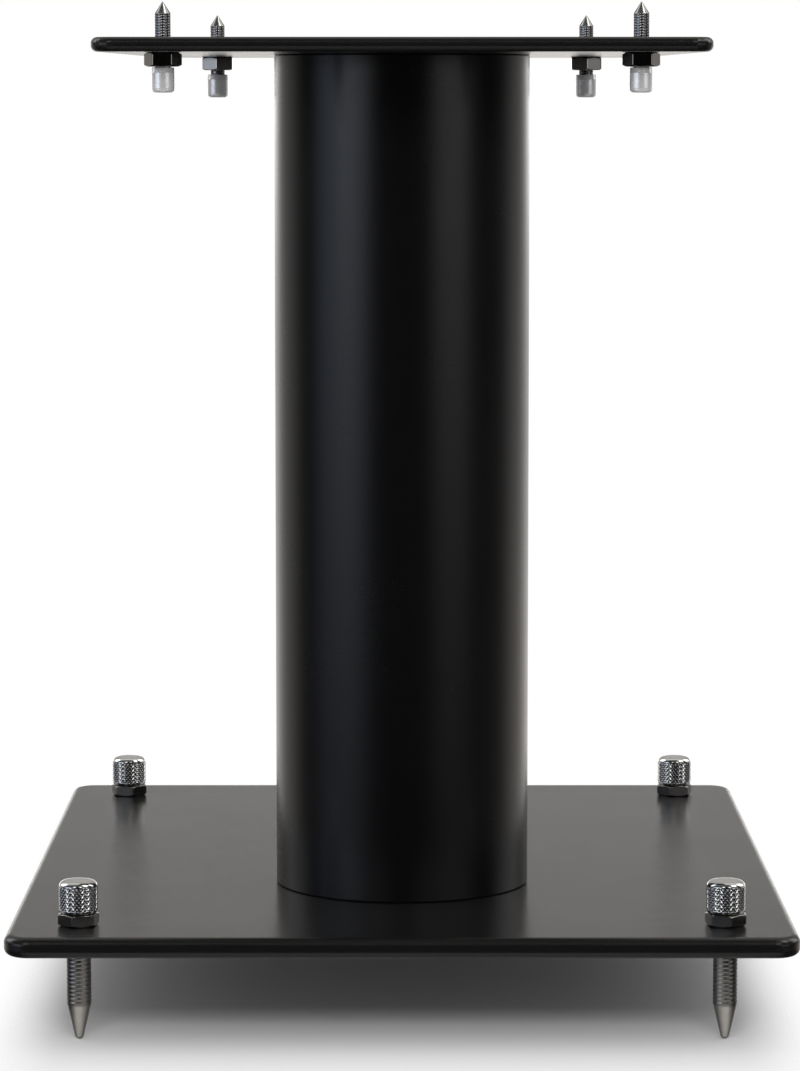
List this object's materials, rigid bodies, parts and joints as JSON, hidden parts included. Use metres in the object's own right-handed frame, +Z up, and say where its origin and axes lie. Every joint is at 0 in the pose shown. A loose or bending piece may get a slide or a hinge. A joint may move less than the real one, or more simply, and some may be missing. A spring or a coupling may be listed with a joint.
{
  "type": "loudspeaker stand",
  "caption": "Low loudspeaker stand with a round steel column between two black plates, levelling spikes below and speaker spikes above, with lock nuts and knurled knobs.",
  "frame": {"origin": "on the floor at the tips of the floor spikes, under the centre of the base plate", "axes": "+Z up; the front faces -Y; the stand's left, seen from the front, is -X"},
  "size_m": [0.302, 0.348, 0.3954],
  "materials": {
    "plate_black": "satin black powder coat, fine texture",
    "column_black": "satin black powder coat",
    "raw_steel": "turned steel, unpainted",
    "bolt_black": "black oxide",
    "spike_steel": "turned steel, cut thread",
    "knob_chrome": "bright plated, diamond knurled",
    "nut_chrome": "bright plated"
  },
  "bodies": {
    "stand": {"base_plate": "plate_black", "column_tube": "column_black", "column_lower_disc": "raw_steel", "column_upper_disc": "raw_steel", "top_plate": "plate_black", "base_bolts": "bolt_black", "top_bolts": "bolt_black"},
    "floor_spike_front_left": {"floor_spike_front_left": "spike_steel"},
    "floor_knob_front_left": {"floor_knob_front_left": "knob_chrome"},
    "floor_nut_front_left": {"floor_nut_front_left": "nut_chrome"},
    "floor_spike_front_right": {"floor_spike_front_right": "spike_steel"},
    "floor_knob_front_right": {"floor_knob_front_right": "knob_chrome"},
    "floor_nut_front_right": {"floor_nut_front_right": "nut_chrome"},
    "floor_spike_rear_left": {"floor_spike_rear_left": "spike_steel"},
    "floor_knob_rear_left": {"floor_knob_rear_left": "knob_chrome"},
    "floor_nut_rear_left": {"floor_nut_rear_left": "nut_chrome"},
    "floor_spike_rear_right": {"floor_spike_rear_right": "spike_steel"},
    "floor_knob_rear_right": {"floor_knob_rear_right": "knob_chrome"},
    "floor_nut_rear_right": {"floor_nut_rear_right": "nut_chrome"},
    "speaker_spike_front_left": {"speaker_spike_front_left": "spike_steel"},
    "speaker_knob_front_left": {"speaker_knob_front_left": "knob_chrome"},
    "speaker_nut_front_left": {"speaker_nut_front_left": "nut_chrome"},
    "speaker_spike_front_right": {"speaker_spike_front_right": "spike_steel"},
    "speaker_knob_front_right": {"speaker_knob_front_right": "knob_chrome"},
    "speaker_nut_front_right": {"speaker_nut_front_right": "nut_chrome"},
    "speaker_spike_rear_left": {"speaker_spike_rear_left": "spike_steel"},
    "speaker_knob_rear_left": {"speaker_knob_rear_left": "knob_chrome"},
    "speaker_nut_rear_left": {"speaker_nut_rear_left": "nut_chrome"},
    "speaker_spike_rear_right": {"speaker_spike_rear_right": "spike_steel"},
    "speaker_knob_rear_right": {"speaker_knob_rear_right": "knob_chrome"},
    "speaker_nut_rear_right": {"speaker_nut_rear_right": "nut_chrome"}
  },
  "joints": [
    {"name": "floor_spike_front_left_travel", "type": "slide", "parent": "stand", "child": "floor_spike_front_left", "axis": [0, 0, 1], "range_m": [0, 0.0181]},
    {"name": "floor_knob_front_left_turn", "type": "hinge", "parent": "floor_spike_front_left", "child": "floor_knob_front_left", "pos_m": [-0.124, -0.147, 0.0535], "axis": [0, 0, 1], "range_deg": [0, 4104]},
    {"name": "floor_nut_front_left_turn", "type": "hinge", "parent": "stand", "child": "floor_nut_front_left", "pos_m": [-0.124, -0.147, 0.047], "axis": [0, 0, 1], "continuous": true},
    {"name": "floor_spike_front_right_travel", "type": "slide", "parent": "stand", "child": "floor_spike_front_right", "axis": [0, 0, 1], "range_m": [0, 0.0181]},
    {"name": "floor_knob_front_right_turn", "type": "hinge", "parent": "floor_spike_front_right", "child": "floor_knob_front_right", "pos_m": [0.124, -0.147, 0.0535], "axis": [0, 0, 1], "range_deg": [0, 4104]},
    {"name": "floor_nut_front_right_turn", "type": "hinge", "parent": "stand", "child": "floor_nut_front_right", "pos_m": [0.124, -0.147, 0.047], "axis": [0, 0, 1], "continuous": true},
    {"name": "floor_spike_rear_left_travel", "type": "slide", "parent": "stand", "child": "floor_spike_rear_left", "axis": [0, 0, 1], "range_m": [0, 0.0181]},
    {"name": "floor_knob_rear_left_turn", "type": "hinge", "parent": "floor_spike_rear_left", "child": "floor_knob_rear_left", "pos_m": [-0.124, 0.147, 0.0535], "axis": [0, 0, 1], "range_deg": [0, 4104]},
    {"name": "floor_nut_rear_left_turn", "type": "hinge", "parent": "stand", "child": "floor_nut_rear_left", "pos_m": [-0.124, 0.147, 0.047], "axis": [0, 0, 1], "continuous": true},
    {"name": "floor_spike_rear_right_travel", "type": "slide", "parent": "stand", "child": "floor_spike_rear_right", "axis": [0, 0, 1], "range_m": [0, 0.0181]},
    {"name": "floor_knob_rear_right_turn", "type": "hinge", "parent": "floor_spike_rear_right", "child": "floor_knob_rear_right", "pos_m": [0.124, 0.147, 0.0535], "axis": [0, 0, 1], "range_deg": [0, 4104]},
    {"name": "floor_nut_rear_right_turn", "type": "hinge", "parent": "stand", "child": "floor_nut_rear_right", "pos_m": [0.124, 0.147, 0.047], "axis": [0, 0, 1], "continuous": true},
    {"name": "speaker_spike_front_left_travel", "type": "slide", "parent": "stand", "child": "speaker_spike_front_left", "axis": [0, 0, 1], "range_m": [-0.0131, 0]},
    {"name": "speaker_knob_front_left_turn", "type": "hinge", "parent": "speaker_spike_front_left", "child": "speaker_knob_front_left", "pos_m": [-0.09, -0.14, 0.366], "axis": [0, 0, 1], "range_deg": [-4716, 0]},
    {"name": "speaker_nut_front_left_turn", "type": "hinge", "parent": "stand", "child": "speaker_nut_front_left", "pos_m": [-0.09, -0.14, 0.374], "axis": [0, 0, 1], "continuous": true},
    {"name": "speaker_spike_front_right_travel", "type": "slide", "parent": "stand", "child": "speaker_spike_front_right", "axis": [0, 0, 1], "range_m": [-0.0131, 0]},
    {"name": "speaker_knob_front_right_turn", "type": "hinge", "parent": "speaker_spike_front_right", "child": "speaker_knob_front_right", "pos_m": [0.09, -0.14, 0.366], "axis": [0, 0, 1], "range_deg": [-4716, 0]},
    {"name": "speaker_nut_front_right_turn", "type": "hinge", "parent": "stand", "child": "speaker_nut_front_right", "pos_m": [0.09, -0.14, 0.374], "axis": [0, 0, 1], "continuous": true},
    {"name": "speaker_spike_rear_left_travel", "type": "slide", "parent": "stand", "child": "speaker_spike_rear_left", "axis": [0, 0, 1], "range_m": [-0.0116, 0.0016]},
    {"name": "speaker_knob_rear_left_turn", "type": "hinge", "parent": "speaker_spike_rear_left", "child": "speaker_knob_rear_left", "pos_m": [-0.077, 0.03, 0.366], "axis": [0, 0, 1], "range_deg": [-4176, 576]},
    {"name": "speaker_nut_rear_left_turn", "type": "hinge", "parent": "stand", "child": "speaker_nut_rear_left", "pos_m": [-0.077, 0.03, 0.374], "axis": [0, 0, 1], "continuous": true},
    {"name": "speaker_spike_rear_right_travel", "type": "slide", "parent": "stand", "child": "speaker_spike_rear_right", "axis": [0, 0, 1], "range_m": [-0.0116, 0.0016]},
    {"name": "speaker_knob_rear_right_turn", "type": "hinge", "parent": "speaker_spike_rear_right", "child": "speaker_knob_rear_right", "pos_m": [0.077, 0.03, 0.366], "axis": [0, 0, 1], "range_deg": [-4176, 576]},
    {"name": "speaker_nut_rear_right_turn", "type": "hinge", "parent": "stand", "child": "speaker_nut_rear_right", "pos_m": [0.077, 0.03, 0.374], "axis": [0, 0, 1], "continuous": true}
  ],
  "couplings": [
    {"joint": "floor_knob_front_left_turn", "follows": "floor_spike_front_left_travel", "rad_per_m": 3957.9},
    {"joint": "floor_knob_front_right_turn", "follows": "floor_spike_front_right_travel", "rad_per_m": 3957.9},
    {"joint": "floor_knob_rear_left_turn", "follows": "floor_spike_rear_left_travel", "rad_per_m": 3957.9},
    {"joint": "floor_knob_rear_right_turn", "follows": "floor_spike_rear_right_travel", "rad_per_m": 3957.9},
    {"joint": "speaker_knob_front_left_turn", "follows": "speaker_spike_front_left_travel", "rad_per_m": 6283.2},
    {"joint": "speaker_knob_front_right_turn", "follows": "speaker_spike_front_right_travel", "rad_per_m": 6283.2},
    {"joint": "speaker_knob_rear_left_turn", "follows": "speaker_spike_rear_left_travel", "rad_per_m": 6283.2},
    {"joint": "speaker_knob_rear_right_turn", "follows": "speaker_spike_rear_right_travel", "rad_per_m": 6283.2}
  ]
}
